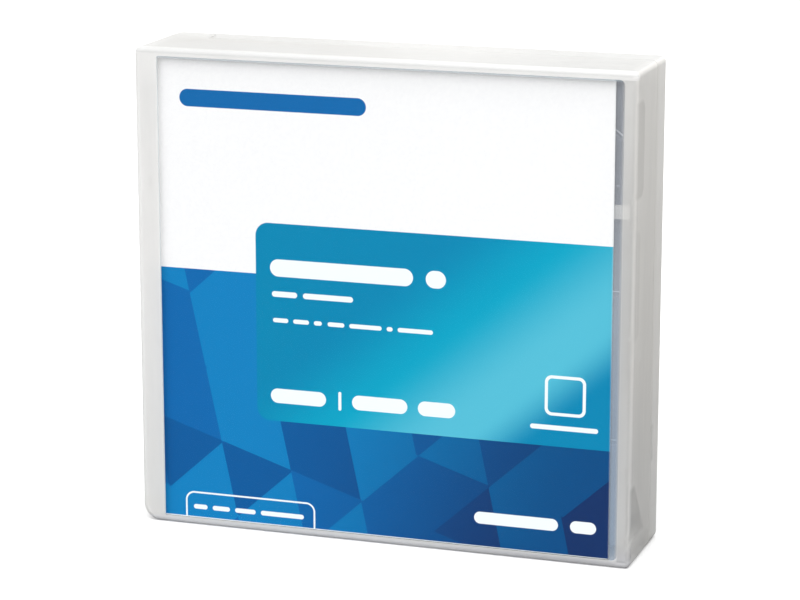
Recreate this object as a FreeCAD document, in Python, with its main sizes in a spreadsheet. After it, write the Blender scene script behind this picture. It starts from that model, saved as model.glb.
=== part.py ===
import FreeCAD, Part
import Sketcher
import math
import os

# Data tape cartridge standing in its hinged library case, with the printed
# card behind the case's front window.
# Frame: origin at the middle of the case's base, +Z up, the card faces -Y,
# +X to the right of someone reading the card. Millimetres.

V = FreeCAD.Vector
ROT = FreeCAD.Rotation
doc = FreeCAD.newDocument("tape_cartridge_in_case")
sheet = doc.addObject("Spreadsheet::Sheet", "dims")

SIZES = [
    ("case_width", 117.0, "case, along X"),
    ("case_depth", 26.2, "case, along Y"),
    ("case_height", 111.6, "case, along Z"),
    ("front_wall", 1.5, "lid's front wall"),
    ("side_wall", 1.3, "lid's top, bottom and right walls"),
    ("back_wall", 1.4, "tray's back wall"),
    ("lid_depth", 17.5, "how far the lid's walls reach back"),
    ("joint_gap", 0.2, "gap between lid and tray edges"),
    ("big_corner", 4.0, "rounding of the lower hinge-side corner"),
    ("small_corner", 1.4, "rounding of the other corners"),
    ("edge_round", 1.2, "rounding of front and back edges"),
    ("hinge_inset", 5.5, "hinge axis in from the left and the back"),
    ("pivot_radius", 2.4, "hinge pin radius"),
    ("pivot_hole", 2.45, "hinge hole radius"),
    ("pivot_length", 2.4, "hinge pin length"),
    ("window_left", 5.5, "frame left of the window"),
    ("window_right", 2.9, "frame right of the window"),
    ("window_top", 1.85, "frame above the window"),
    ("window_bottom", 1.8, "frame below the window"),
    ("window_step", 0.12, "step at the window's edge"),
    ("card_width", 107.2, "card, along X"),
    ("card_height", 108.15, "card, along Z"),
    ("card_thick", 0.3, "card thickness"),
    ("card_left", 4.6, "card's lower corner in from the case's left"),
    ("tab_low", 78.95, "lower edge of the card tabs"),
    ("tab_high", 82.0, "upper edge of the card tabs"),
    ("cart_length", 102.0, "cartridge, along X"),
    ("cart_width", 105.4, "cartridge, along Z"),
    ("cart_thick", 21.5, "cartridge, along Y"),
    ("cart_left", 11.5, "cartridge in from the case's left"),
    ("cart_base", 3.85, "cartridge above the case's base"),
    ("cart_back", 1.9, "cartridge in from the case's back"),
    ("shell_wall", 1.7, "cartridge shell wall"),
    ("shell_corner", 1.6, "cartridge corner radius"),
    ("shell_bevel", 0.7, "bevel round the cartridge's two big faces"),
    ("seam_height", 10.75, "shell seam above the cartridge's back face"),
    ("seam_gap", 0.1, "gap at the seam"),
    ("flange_radius", 47.5, "reel flange radius"),
    ("hub_radius", 22.0, "reel hub outer radius"),
    ("hub_bore", 19.0, "reel hub inner radius"),
    ("pack_radius", 44.0, "tape pack radius"),
    ("tape_width", 12.65, "half-inch tape"),
    ("drive_opening", 21.0, "round opening in the bottom shell"),
    ("plate_outer", 14.6, "drive plate outer radius"),
    ("plate_inner", 6.5, "drive plate inner radius"),
    ("leg_circle", 9.8, "circle of the release pad's legs"),
    ("leg_radius", 1.4, "release pad leg radius"),
    ("leg_hole", 1.6, "hole for each leg"),
    ("leg_count", 3.0, "release pad legs"),
    ("tooth_count", 24.0, "brake teeth"),
    ("drive_teeth", 36.0, "drive teeth"),
    ("tooth_inner", 12.5, "brake teeth inner radius"),
    ("tooth_outer", 15.5, "brake teeth outer radius"),
    ("tooth_thick", 1.5, "brake tooth thickness"),
    ("button_radius", 16.0, "brake button radius"),
    ("post_side", 5.0, "square guide post"),
    ("post_hole", 5.2, "square socket of the brake button"),
    ("pin_across", 51.0, "leader pin from the cartridge's left edge, plus half"),
    ("pin_shaft", 1.5, "leader pin shaft radius"),
    ("pin_flange", 2.6, "leader pin end radius"),
    ("door_length", 19.7, "door, along its travel"),
    ("door_thick", 1.45, "door thickness"),
    ("screw_shank", 1.0, "screw shank radius"),
    ("screw_head", 2.0, "screw head radius"),
]
for row, (name, value, note) in enumerate(SIZES, 1):
    sheet.set("A%d" % row, note)
    sheet.set("B%d" % row, repr(value))
    sheet.setAlias("B%d" % row, name)
doc.recompute()


class Q:
    """A size: its value and the spreadsheet expression that gives it."""

    def __init__(self, v, e=None):
        self.v = float(v)
        self.e = e if e is not None else "(%r)" % float(v)

    def __add__(self, o):
        o = q(o)
        return Q(self.v + o.v, "(%s + %s)" % (self.e, o.e))

    def __sub__(self, o):
        o = q(o)
        return Q(self.v - o.v, "(%s - %s)" % (self.e, o.e))

    def __mul__(self, o):
        o = q(o)
        return Q(self.v * o.v, "(%s * %s)" % (self.e, o.e))

    def __truediv__(self, o):
        o = q(o)
        return Q(self.v / o.v, "(%s / %s)" % (self.e, o.e))

    def __radd__(self, o):
        return q(o) + self

    def __rsub__(self, o):
        return q(o) - self

    def __rmul__(self, o):
        return q(o) * self

    def __neg__(self):
        return Q(-self.v, "(0 - %s)" % self.e)


def q(x):
    return x if isinstance(x, Q) else Q(x)


S = {name: Q(value, "dims." + name) for name, value, note in SIZES}


def bind(obj, prop, size):
    obj.setExpression(prop, q(size).e)


def place(obj, x, y, z, rot=None):
    if rot is not None:
        obj.Placement = FreeCAD.Placement(V(q(x).v, q(y).v, q(z).v), rot)
    bind(obj, "Placement.Base.x", x)
    bind(obj, "Placement.Base.y", y)
    bind(obj, "Placement.Base.z", z)


def box(label, x0, x1, y0, y1, z0, z1):
    o = doc.addObject("Part::Box", label)
    o.Label = label
    bind(o, "Length", q(x1) - x0)
    bind(o, "Width", q(y1) - y0)
    bind(o, "Height", q(z1) - z0)
    place(o, x0, y0, z0)
    return o


TURN = {"x": ROT(V(0, 1, 0), 90), "y": ROT(V(1, 0, 0), -90), "z": ROT()}


def rod(label, axis, radius, a0, a1, c1, c2):
    """Cylinder along an axis from a0 to a1; c1, c2 are the other two coordinates in order."""
    o = doc.addObject("Part::Cylinder", label)
    o.Label = label
    bind(o, "Radius", radius)
    bind(o, "Height", q(a1) - a0)
    at = {"x": (a0, c1, c2), "y": (c1, a0, c2), "z": (c1, c2, a0)}[axis]
    place(o, at[0], at[1], at[2], TURN[axis])
    return o


def fuse(label, parts):
    o = doc.addObject("Part::MultiFuse", label)
    o.Label = label
    o.Shapes = parts
    o.Refine = True
    return o


def cut(label, base, tools):
    o = doc.addObject("Part::Cut", label)
    o.Label = label
    o.Base = base
    o.Tool = tools[0] if len(tools) == 1 else fuse(label + "_tools", tools)
    o.Refine = True
    return o


def common(label, a, b):
    o = doc.addObject("Part::Common", label)
    o.Label = label
    o.Base = a
    o.Tool = b
    o.Refine = True
    return o


def soften(kind, label, base, wanted, size):
    """Fillet or chamfer on the edges of base that wanted() picks."""
    doc.recompute()
    o = doc.addObject("Part::" + kind, label)
    o.Label = label
    o.Base = base
    o.Edges = [(i + 1, size, size) for i, e in enumerate(base.Shape.Edges) if wanted(e)]
    return o


def along(e, axis):
    """True for a straight edge parallel to the given axis."""
    if len(e.Vertexes) != 2 or e.Curve.TypeId != "Part::GeomLine":
        return False
    d = e.Vertexes[1].Point - e.Vertexes[0].Point
    return abs(d.dot(axis)) > 0.999 * d.Length


def flat_at(e, axis, level, tol=1e-4):
    """True for an edge lying in the plane where the axis coordinate equals level."""
    b = e.BoundBox
    lo, hi = {"x": (b.XMin, b.XMax), "y": (b.YMin, b.YMax), "z": (b.ZMin, b.ZMax)}[axis]
    return abs(lo - level) < tol and abs(hi - level) < tol


# ---------------------------------------------------------------- shared lines
half_w = S["case_width"] / 2
half_d = S["case_depth"] / 2
left, right = -half_w, half_w
front, back = -half_d, half_d
top = S["case_height"]
front_in = front + S["front_wall"]
top_in = top - S["side_wall"]
base_in = S["side_wall"]
right_in = right - S["side_wall"]
lid_rear = front + S["lid_depth"]
tray_front = lid_rear + S["joint_gap"]
back_in = back - S["back_wall"]
hinge_x = left + S["hinge_inset"]
hinge_y = back - S["hinge_inset"]

cart_x0 = left + S["cart_left"]
cart_x1 = cart_x0 + S["cart_length"]
cart_z0 = S["cart_base"]
cart_z1 = cart_z0 + S["cart_width"]
cart_y1 = back - S["cart_back"]
cart_y0 = cart_y1 - S["cart_thick"]
reel_x = cart_x0 + S["cart_length"] / 2
reel_z = cart_z0 + S["cart_width"] / 2


def up(h):
    """Row Y of a height above the cartridge's back face."""
    return cart_y1 - h


# ---------------------------------------------------------------- case envelope
envelope = box("envelope_block", left, right, front, back, 0, top)
envelope = soften("Fillet", "envelope_big_corner", envelope,
                  lambda e: along(e, V(0, 1, 0)) and e.BoundBox.XMax < 0 and e.BoundBox.ZMax < 1, S["big_corner"].v)
envelope = soften("Fillet", "envelope_corners", envelope,
                  lambda e: along(e, V(0, 1, 0)) and (e.BoundBox.XMin > 50 or e.BoundBox.ZMin > 100)
                  and (e.BoundBox.ZMax < 1 or e.BoundBox.ZMin > 111), S["small_corner"].v)
envelope = soften("Fillet", "envelope", envelope,
                  lambda e: flat_at(e, "y", front.v) or flat_at(e, "y", back.v), S["edge_round"].v)

# ---------------------------------------------------------------- case lid
lid_block = box("lid_block", left, right, front, lid_rear, 0, top)
lid_hollow = box("lid_hollow", left - 1, right_in, front_in, lid_rear + 1, base_in, top_in)
lid_shell = cut("lid_shell", lid_block, [lid_hollow])
lid_parts = [lid_shell]
for tag, z0, z1, pin0, pin1 in (
    ("upper", top_in, top, top_in - S["pivot_length"], top_in + 0.4),
    ("lower", 0, base_in, base_in - 0.4, base_in + S["pivot_length"]),
):
    # ear that carries the hinge pin over the tray's boss
    lid_parts.append(box("ear_web_" + tag, left, hinge_x + S["hinge_inset"], lid_rear - 1, hinge_y, z0, z1))
    lid_parts.append(rod("ear_round_" + tag, "z", S["hinge_inset"], z0, z1, hinge_x, hinge_y))
    lid_parts.append(rod("pivot_" + tag, "z", S["pivot_radius"], pin0, pin1, hinge_x, hinge_y))
# tabs that hold the card against the window
tab_y0 = front_in + S["card_thick"] + 0.1
lid_parts += [
    box("tab_right", right_in - 5.7, right_in + 0.5, tab_y0, tab_y0 + 0.65, S["tab_low"], S["tab_high"]),
    box("tab_left_post", left + 2.4, left + 3.4, front_in - 0.4, tab_y0 + 0.65, S["tab_low"], S["tab_high"]),
    box("tab_left_hook", left + 2.4, left + 6.6, tab_y0, tab_y0 + 0.65, S["tab_low"], S["tab_high"]),
    box("tab_foot_left", left + 26, left + 30, tab_y0, tab_y0 + 0.65, base_in - 0.4, base_in + 2.2),
    box("tab_foot_right", right - 30, right - 26, tab_y0, tab_y0 + 0.65, base_in - 0.4, base_in + 2.2),
    # snap bead on the closing side
    box("snap_bead", right_in - 0.45, right_in + 0.3, lid_rear - 3.4, lid_rear - 2.0, 49.5, 62.5),
]
# stiffening ribs inside the top and bottom walls, close to the closing side
for tag, z0, z1 in (("upper", top_in - 0.5, top_in + 0.3), ("lower", base_in - 0.3, base_in + 0.5)):
    lid_parts.append(box("rim_rib_" + tag, hinge_x + 20, right_in + 0.3, lid_rear - 1.2, lid_rear, z0, z1))
# thicker pads inside the closing side's wall, with long round-ended pockets in them
for tag, z0, z1, rear, p0, p1, deep in (
    ("upper", 79.0, 107.6, -2.4, 83.6, 104.9, -6.6),
    ("middle", 46.0, 79.3, -4.6, 52.0, 76.6, -8.6),
    ("lower", 3.6, 23.0, -4.0, 6.6, 19.5, -7.2),
):
    pad = box("side_pad_" + tag, right_in - 0.45, right_in + 0.3, front_in - 0.3, rear, z0, z1)
    pad = soften("Fillet", "side_pad_rounded_" + tag, pad,
                 lambda e: along(e, V(1, 0, 0)) and e.BoundBox.YMin > -6, 3.5)
    pocket = box("side_pocket_" + tag, right_in - 1.5, right_in, front_in, deep, p0, p1)
    pocket = soften("Fillet", "side_pocket_rounded_" + tag, pocket,
                    lambda e: along(e, V(1, 0, 0)) and e.BoundBox.YMin > -10, 2.4)
    lid_parts.append(cut("side_pad_cut_" + tag, pad, [pocket]))
lid_solid = fuse("lid_solid", lid_parts)
window = box("window_block", left + S["window_left"], right - S["window_right"],
             front - 1, front + S["window_step"], S["window_bottom"], top - S["window_top"])
window = soften("Fillet", "window_cut", window, lambda e: along(e, V(0, 1, 0)), 1.2)
lid_cut = cut("lid_cut", lid_solid, [window])
case_lid = common("case_lid", lid_cut, envelope)

# ---------------------------------------------------------------- case tray
ear_limit = hinge_x + S["hinge_inset"] + S["joint_gap"]
clear_z0 = base_in + 0.1
clear_z1 = top_in - 0.1
tray_parts = [
    box("back_main", ear_limit, right, back_in, back, 0, top),
    box("back_hinge_side", left, ear_limit + 1, back_in, back, clear_z0, clear_z1),
    box("rim_top", ear_limit, right, tray_front, back, top_in, top),
    box("rim_base", ear_limit, right, tray_front, back, 0, base_in),
    box("rim_right", right_in, right, tray_front, back, 0, top),
    box("spine", left, left + 1.5, back - 23.3, back, clear_z0, clear_z1),
    box("wall_left", cart_x0 - 1.6, cart_x0 - 0.25, back - 21.0, back_in + 0.5, 9.0, 103.5),
    box("wall_right", cart_x1 + 0.25, cart_x1 + 1.4, back - 16.0, back_in + 0.5, 9.0, 103.5),
    box("boss_upper", left + 0.5, cart_x0 - 1.6, hinge_y - 5.4, back_in + 0.5, clear_z1 - 2.8, clear_z1),
    box("boss_lower", left + 0.5, cart_x0 - 1.6, hinge_y - 5.4, back_in + 0.5, clear_z0, clear_z0 + 2.8),
    rod("hub_boss", "y", 12.0, back_in - 1.65, back_in + 0.4, reel_x, reel_z),
]
for i, z in enumerate((24.0, 56.55, 89.0)):
    tray_parts.append(box("spine_rib_%d" % i, left + 0.5, cart_x0 - 0.5, back - 14.0, back_in + 0.5, z - 0.6, z + 0.6))
for i, x in enumerate((-34.0, 4.0, 42.0)):
    tray_parts.append(box("foot_rib_%d" % i, x - 0.8, x + 0.8, back - 20.0, back_in + 0.5, base_in + 0.65, cart_z0))
    tray_parts.append(box("foot_web_%d" % i, x - 0.8, x + 0.8, tray_front, back_in + 0.5, base_in - 0.3, cart_z0))
for i, (x, z) in enumerate(((-38.0, 16.0), (46.0, 16.0), (-38.0, 97.0), (46.0, 97.0))):
    tray_parts.append(rod("rest_pad_%d" % i, "y", 3.0, cart_y1, back_in + 0.4, x, z))
# corners beside the lid's round ears, so the back edge runs on
for tag, z0, z1 in (("upper", clear_z1 - 0.4, top), ("lower", 0, clear_z0 + 0.4)):
    corner = box("ear_corner_" + tag, hinge_x + 2.8, ear_limit + 0.5, hinge_y, back, z0, z1)
    ear_way = rod("ear_way_" + tag, "z", S["hinge_inset"] + 0.12, z0 - 1, z1 + 1, hinge_x, hinge_y)
    tray_parts.append(cut("ear_corner_cut_" + tag, corner, [ear_way]))
tray_solid = fuse("tray_solid", tray_parts)
tray_cut = cut("tray_cut", tray_solid, [
    rod("pivot_hole_upper", "z", S["pivot_hole"], clear_z1 - 4, clear_z1 + 1, hinge_x, hinge_y),
    rod("pivot_hole_lower", "z", S["pivot_hole"], clear_z0 - 1, clear_z0 + 4, hinge_x, hinge_y),
    # hollow of the hub boss, and the matching dimple in the back
    rod("hub_boss_hollow", "y", 9.0, back_in - 2.5, back_in + 0.4, reel_x, reel_z),
    # room for the lid's left card tab as it swings past the spine
    box("tab_passage", left - 1, left + 2, back - 24.5, back - 22.4, S["tab_low"] - 0.9, S["tab_high"] + 0.9),
])
case_tray = common("case_tray", tray_cut, envelope)

# ---------------------------------------------------------------- insert card
card_block = box("card_block", 0, S["card_width"], 0, S["card_thick"], 0, S["card_height"])
# the card leans a little in its pocket
place(card_block, left + S["card_left"], front_in + 0.02, base_in + 0.05, ROT(V(0, -1, 0), 0.05))
insert_card = soften("Fillet", "insert_card", card_block, lambda e: along(e, V(0, 1, 0)), 0.4)

# ---------------------------------------------------------------- cartridge shells
wall = S["shell_wall"]
in_x0, in_x1 = cart_x0 + wall, cart_x1 - wall
in_z0, in_z1 = cart_z0 + wall, cart_z1 - wall
SCREWS = ((cart_x0 + 4.3, cart_z0 + 4.3), (cart_x0 + 8.5, cart_z1 - 5.25),
          (cart_x1 - 5.0, cart_z0 + 5.05), (cart_x1 - 4.2, cart_z1 - 13.75))


def shell_half(tag, low, high, face_level):
    """Box half between two heights above the back face, rounded corners, bevelled big face."""
    block = box(tag + "_block", cart_x0, cart_x1, up(high), up(low), cart_z0, cart_z1)
    block = soften("Fillet", tag + "_rounded", block, lambda e: along(e, V(0, 1, 0)), S["shell_corner"].v)
    return soften("Chamfer", tag + "_bevelled", block,
                  lambda e: flat_at(e, "y", up(face_level).v), S["shell_bevel"].v)


def side_features(tag, low, high):
    """Grip grooves and picker notches in both long sides, door opening, between two heights."""
    tools = []
    for side, z0, z1, n0, n1 in (("low", cart_z0 - 1, cart_z0 + 0.45, cart_z0 - 1, cart_z0 + 1.0),
                                 ("high", cart_z1 - 0.45, cart_z1 + 1, cart_z1 - 1.0, cart_z1 + 1)):
        for k in range(5):
            x = cart_x0 + 4.0 + 1.8 * k
            tools.append(box("%s_grip_%s_%d" % (tag, side, k), x, x + 0.8, up(high), up(low), z0, z1))
        tools.append(box("%s_notch_%s" % (tag, side), cart_x0 + 26, cart_x0 + 33, up(high), up(low), n0, n1))
    tools.append(box(tag + "_door_opening", cart_x1 - 20, cart_x1 - 3, up(high), up(low), in_z1 - 0.2, cart_z1 + 1))
    return tools


seam_low = S["seam_height"] - S["seam_gap"] / 2
seam_high = S["seam_height"] + S["seam_gap"] / 2

# bottom shell: the half with the drive opening, towards the tray's back wall
bottom_half = shell_half("bottom", q(0), seam_low, q(0))
bottom_parts = [cut("bottom_hollowed", bottom_half, [
    box("bottom_hollow", in_x0, in_x1, up(seam_low) - 1, up(wall), in_z0, in_z1)])]
for i, (x, z) in enumerate(SCREWS):
    bottom_parts.append(rod("bottom_boss_%d" % i, "y", 3.0, up(seam_low), up(wall) + 0.3, x, z))
bottom_parts += [
    # rib the door spring pushes against
    box("spring_stop", reel_x - 1.2, reel_x + 0.6, up(10.6), up(5.7), cart_z1 - 5.75, in_z1 + 0.3),
    # corner ribs beside the reel
    box("corner_rib_a", in_x0 - 0.3, in_x0 + 6.0, up(9.5), up(wall) + 0.3, cart_z0 + 25.5, cart_z0 + 26.5),
    box("corner_rib_b", in_x1 - 6.0, in_x1 + 0.3, up(9.5), up(wall) + 0.3, cart_z0 + 17.5, cart_z0 + 18.5),
]
bottom_solid = fuse("bottom_solid", bottom_parts)
bottom_tools = side_features("bottom", 2.6, 10.9)
for i, (x, z) in enumerate(SCREWS):
    bottom_tools.append(rod("screw_way_%d" % i, "y", S["screw_shank"] + 0.2, up(12), up(-1), x, z))
    bottom_tools.append(rod("screw_seat_%d" % i, "y", S["screw_head"] + 0.2, up(2.0), up(-1), x, z))
bottom_tools += [
    rod("drive_opening_cut", "y", S["drive_opening"], up(4), up(-1), reel_x, reel_z),
    box("switch_slot", cart_x0 - 1, in_x0 + 0.3, up(7.8), up(3.2), cart_z0 + 88.2, cart_z0 + 100.2),
    box("bottom_label_recess", cart_x0 - 1, cart_x0 + 0.2, up(10.9), up(2.0), cart_z0 + 5.0, cart_z0 + 85.3),
    # the two datum recesses the drive locates on
    rod("datum_round", "y", 2.1, up(1.1), up(-1), cart_x1 - 12.0, cart_z0 + 9.5),
    box("datum_slot", cart_x1 - 14.5, cart_x1 - 9.5, up(1.1), up(-1), cart_z1 - 12.5, cart_z1 - 8.5),
]
bottom_shell = cut("bottom_shell", bottom_solid, bottom_tools)

# top shell: the half towards the card
thick = S["cart_thick"]
top_half = shell_half("top", seam_high, thick, thick)
top_parts = [cut("top_hollowed", top_half, [
    box("top_hollow", in_x0, in_x1, up(thick - wall), up(seam_high) + 1, in_z0, in_z1)])]
for i, (x, z) in enumerate(SCREWS):
    top_parts.append(rod("top_boss_%d" % i, "y", 2.4, up(thick - wall) - 0.3, up(seam_high), x, z))
post = S["post_side"] / 2
top_parts += [
    # square post that keeps the brake button from turning
    box("guide_post", reel_x - post, reel_x + post, up(thick - wall) - 0.3, up(10.6), reel_z - post, reel_z + post),
    rod("spring_seat", "y", 7.4, up(thick - wall) - 0.3, up(thick - wall - 0.8), reel_x, reel_z),
]
top_solid = fuse("top_solid", top_parts)
top_tools = side_features("top", 10.6, 18.9)
for i, (x, z) in enumerate(SCREWS):
    top_tools.append(rod("screw_pilot_%d" % i, "y", S["screw_shank"] + 0.05, up(15.5), up(10), x, z))
face_y = up(thick)
ring_outer = rod("ring_outer", "y", 24.4, face_y - 1, face_y + 0.3, reel_x, reel_z)
ring_inner = rod("ring_inner", "y", 23.2, face_y - 1.5, face_y + 1, reel_x, reel_z)
top_tools += [
    box("top_label_recess", cart_x0 - 1, cart_x0 + 0.2, up(19.6), up(10.6), cart_z0 + 5.0, cart_z0 + 85.3),
    cut("ring_groove", ring_outer, [ring_inner]),
    # stepped pads along the leading edge, set out evenly from the middle
    box("edge_pad_low", cart_x1 - 5.2, cart_x1 + 1, face_y - 1, face_y + 0.35, reel_z - 28.75, reel_z - 5.15),
    box("edge_pad_high", cart_x1 - 5.2, cart_x1 + 1, face_y - 1, face_y + 0.35, reel_z + 5.15, reel_z + 28.75),
    # direction arrow recess between the pads
    box("arrow_shaft", cart_x1 - 15.0, cart_x1 - 8.0, face_y - 1, face_y + 0.25, reel_z - 1.4, reel_z + 1.4),
]
# corner facet above the door end of the leading edge
facet = box("corner_facet", 0, 9.0, 0, 1.35, 0, 9.0)
place(facet, cart_x1 - 3.6, face_y - 1, cart_z1 - 10.2, ROT(V(0, 1, 0), 42))
top_tools.append(facet)
# sloped lower ends of the pads and of the facet
SLOPE = ROT(V(1, 0, 0), 135)
for tag, x, z, length, turn in (
    ("low", cart_x1 - 5.2, reel_z - 28.75, 6.2, SLOPE),
    ("high", cart_x1 - 5.2, reel_z + 5.15, 6.2, SLOPE),
    ("facet", cart_x1 - 3.6, cart_z1 - 10.2, 9.0, ROT(V(0, 1, 0), 42).multiply(SLOPE)),
):
    slope = box("pad_slope_" + tag, 0, length, 0, 0.8, 0, 0.8)
    place(slope, x, face_y + 0.35, z, turn)
    top_tools.append(slope)
top_shell = cut("top_shell", top_solid, top_tools)


# ---------------------------------------------------------------- round parts as bodies
def body(label, x, y, z, rot):
    b = doc.addObject("PartDesign::Body", label)
    b.Label = label
    place(b, x, y, z, rot)
    return b


# local Z of the reel parts runs from the cartridge's back face towards the card
TO_CARD = ROT(V(1, 0, 0), 90)


def origin_of(b, role):
    return [f for f in b.Origin.OriginFeatures if f.Role == role][0]


def new_sketch(b, label, role="XY_Plane", lift=None):
    sk = b.newObject("Sketcher::SketchObject", label)
    sk.Label = label
    sk.AttachmentSupport = [(origin_of(b, role), "")]
    sk.MapMode = "FlatFace"
    if lift is not None:
        bind(sk, "AttachmentOffset.Base.z", lift)
    return sk


def limit(sk, kind, where, size):
    """Distance of a vertex from the origin along one sketch axis, bound to its size."""
    size = q(size)
    if abs(size.v) < 1e-9:
        sk.addConstraint(Sketcher.Constraint("PointOnObject", where, 1, -2 if kind == "DistanceX" else -1))
        return
    i = sk.addConstraint(Sketcher.Constraint(kind, -1, 1, where, 1, size.v))
    sk.setExpression("Constraints[%d]" % i, size.e)


def outline(sk, points):
    n = len(points)
    pts = [V(q(a).v, q(b).v, 0) for a, b in points]
    first = sk.GeometryCount
    for i in range(n):
        sk.addGeometry(Part.LineSegment(pts[i], pts[(i + 1) % n]), False)
    for i in range(n):
        sk.addConstraint(Sketcher.Constraint("Coincident", first + i, 2, first + (i + 1) % n, 1))
    for i, (a, b) in enumerate(points):
        limit(sk, "DistanceX", first + i, a)
        limit(sk, "DistanceY", first + i, b)


def ring(sk, radius, x=0.0):
    radius = q(radius)
    i = sk.addGeometry(Part.Circle(V(q(x).v, 0, 0), V(0, 0, 1), radius.v), False)
    if abs(q(x).v) < 1e-9:
        sk.addConstraint(Sketcher.Constraint("Coincident", i, 3, -1, 1))
    else:
        sk.addConstraint(Sketcher.Constraint("PointOnObject", i, 3, -1))
        c = sk.addConstraint(Sketcher.Constraint("DistanceX", -1, 1, i, 3, q(x).v))
        sk.setExpression("Constraints[%d]" % c, q(x).e)
    c = sk.addConstraint(Sketcher.Constraint("Radius", i, radius.v))
    sk.setExpression("Constraints[%d]" % c, radius.e)


def turned(b, label, points):
    """Solid of revolution about the body's Z axis from a closed (radius, height) outline."""
    sk = new_sketch(b, label + "_profile", "XZ_Plane")
    outline(sk, points)
    f = b.newObject("PartDesign::Revolution", label)
    f.Profile = sk
    f.ReferenceAxis = (origin_of(b, "Z_Axis"), [""])
    f.Angle = 360
    doc.recompute()
    return f


def padded(b, label, sk, length):
    f = b.newObject("PartDesign::Pad", label)
    f.Profile = sk
    bind(f, "Length", length)
    doc.recompute()
    return f


def pocketed(b, label, sk, length, upward=True):
    """Pocket that must remove material; its direction is set and the volume compared."""
    before = b.Shape.Volume
    f = b.newObject("PartDesign::Pocket", label)
    f.Profile = sk
    bind(f, "Length", length)
    f.Reversed = upward
    doc.recompute()
    if not b.Shape.Volume < before - 1e-6:
        raise RuntimeError("pocket %s removed nothing" % label)
    return f


def repeated(b, label, feature, count):
    f = b.newObject("PartDesign::PolarPattern", label)
    f.Originals = [feature]
    f.Axis = (origin_of(b, "Z_Axis"), [""])
    f.Angle = 360
    b.Tip = f
    doc.recompute()
    f.setExpression("Occurrences", count.e)
    doc.recompute()
    return f


def tooth(b, label, inner, outer, width, low, height):
    """Straight tooth across the body's X axis between two radii."""
    sk = new_sketch(b, label + "_outline", "XY_Plane", low)
    outline(sk, [(inner, -(q(width) / 2)), (outer, -(q(width) / 2)), (outer, q(width) / 2), (inner, q(width) / 2)])
    return padded(b, label, sk, height)


# reel hub with its lower flange, web, brake teeth and drive teeth
hub = body("reel_hub", reel_x, cart_y1, reel_z, TO_CARD)
turned(hub, "hub_turned", [
    (5.2, 2.25), (S["flange_radius"], 2.25), (S["flange_radius"], 3.45), (S["hub_radius"], 3.45),
    (S["hub_radius"], 16.5), (S["hub_bore"], 16.5), (S["hub_bore"], 5.0), (5.2, 5.0)])
sk = new_sketch(hub, "leg_hole_outline", "XY_Plane", 2.0)
ring(sk, S["leg_hole"], S["leg_circle"])
first_hole = pocketed(hub, "leg_hole", sk, 4.0, True)
repeated(hub, "leg_holes", first_hole, S["leg_count"])
first_tooth = tooth(hub, "brake_tooth", S["tooth_inner"], S["tooth_outer"], S["tooth_thick"], 4.9, 1.3)
repeated(hub, "brake_teeth", first_tooth, S["tooth_count"])
first_drive = tooth(hub, "drive_tooth", 15.6, 19.6, 1.35, 0.35, 2.0)
repeated(hub, "drive_teeth_ring", first_drive, S["drive_teeth"])

# upper flange, welded inside the hub's rim
upper = body("upper_flange", reel_x, cart_y1, reel_z, TO_CARD)
turned(upper, "flange_turned", [
    (17.2, 15.0), (18.95, 15.0), (18.95, 16.5), (S["flange_radius"], 16.5),
    (S["flange_radius"], 17.5), (17.2, 17.5)])

# drive plate
plate = body("drive_plate", reel_x, cart_y1, reel_z, TO_CARD)
sk = new_sketch(plate, "plate_outline", "XY_Plane", 1.45)
ring(sk, S["plate_outer"])
ring(sk, S["plate_inner"])
padded(plate, "plate_pad", sk, 0.8)
sk = new_sketch(plate, "plate_hole_outline", "XY_Plane", 1.0)
ring(sk, 1.7, S["leg_circle"])
plate_hole = pocketed(plate, "plate_hole", sk, 2.0, True)
repeated(plate, "plate_holes", plate_hole, S["leg_count"])

# tape pack
pack = body("tape_pack", reel_x, cart_y1, reel_z, TO_CARD)
turned(pack, "pack_turned", [
    (S["hub_radius"], 3.65), (S["pack_radius"], 3.65),
    (S["pack_radius"], 3.65 + S["tape_width"]), (S["hub_radius"], 3.65 + S["tape_width"])])

# brake button: toothed underside, square socket on the shell's post
button = body("brake_button", reel_x, cart_y1, reel_z, TO_CARD)
turned(button, "button_turned", [
    (0, 6.35), (4.5, 6.35), (4.5, 7.6), (12.4, 7.6), (12.4, 6.6), (S["button_radius"], 6.6),
    (S["button_radius"], 9.0), (6.2, 9.0), (6.2, 14.2), (0, 14.2)])
sk = new_sketch(button, "socket_outline", "XY_Plane", 9.0)
half_hole = S["post_hole"] / 2
outline(sk, [(-half_hole, -half_hole), (half_hole, -half_hole), (half_hole, half_hole), (-half_hole, half_hole)])
pocketed(button, "socket", sk, 6.0, True)
# half a pitch round from the hub's teeth, so that the two sets mesh
sk = new_sketch(button, "button_tooth_outline", "XY_Plane")
sk.AttachmentOffset = FreeCAD.Placement(V(0, 0, 5.3), ROT(V(0, 0, 1), 180.0 / S["tooth_count"].v))
outline(sk, [(S["tooth_inner"], -(S["tooth_thick"] / 2)), (S["tooth_outer"], -(S["tooth_thick"] / 2)),
             (S["tooth_outer"], S["tooth_thick"] / 2), (S["tooth_inner"], S["tooth_thick"] / 2)])
button_tooth = padded(button, "button_tooth", sk, 1.4)
repeated(button, "button_teeth", button_tooth, S["tooth_count"])

# release pad with its legs
pad_body = body("release_pad", reel_x, cart_y1, reel_z, TO_CARD)
turned(pad_body, "pad_turned", [(0, 5.15), (11.3, 5.15), (11.3, 6.25), (0, 6.25)])
sk = new_sketch(pad_body, "leg_outline", "XY_Plane", 1.6)
ring(sk, S["leg_radius"], S["leg_circle"])
leg = padded(pad_body, "leg", sk, 3.8)
repeated(pad_body, "legs", leg, S["leg_count"])

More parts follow.
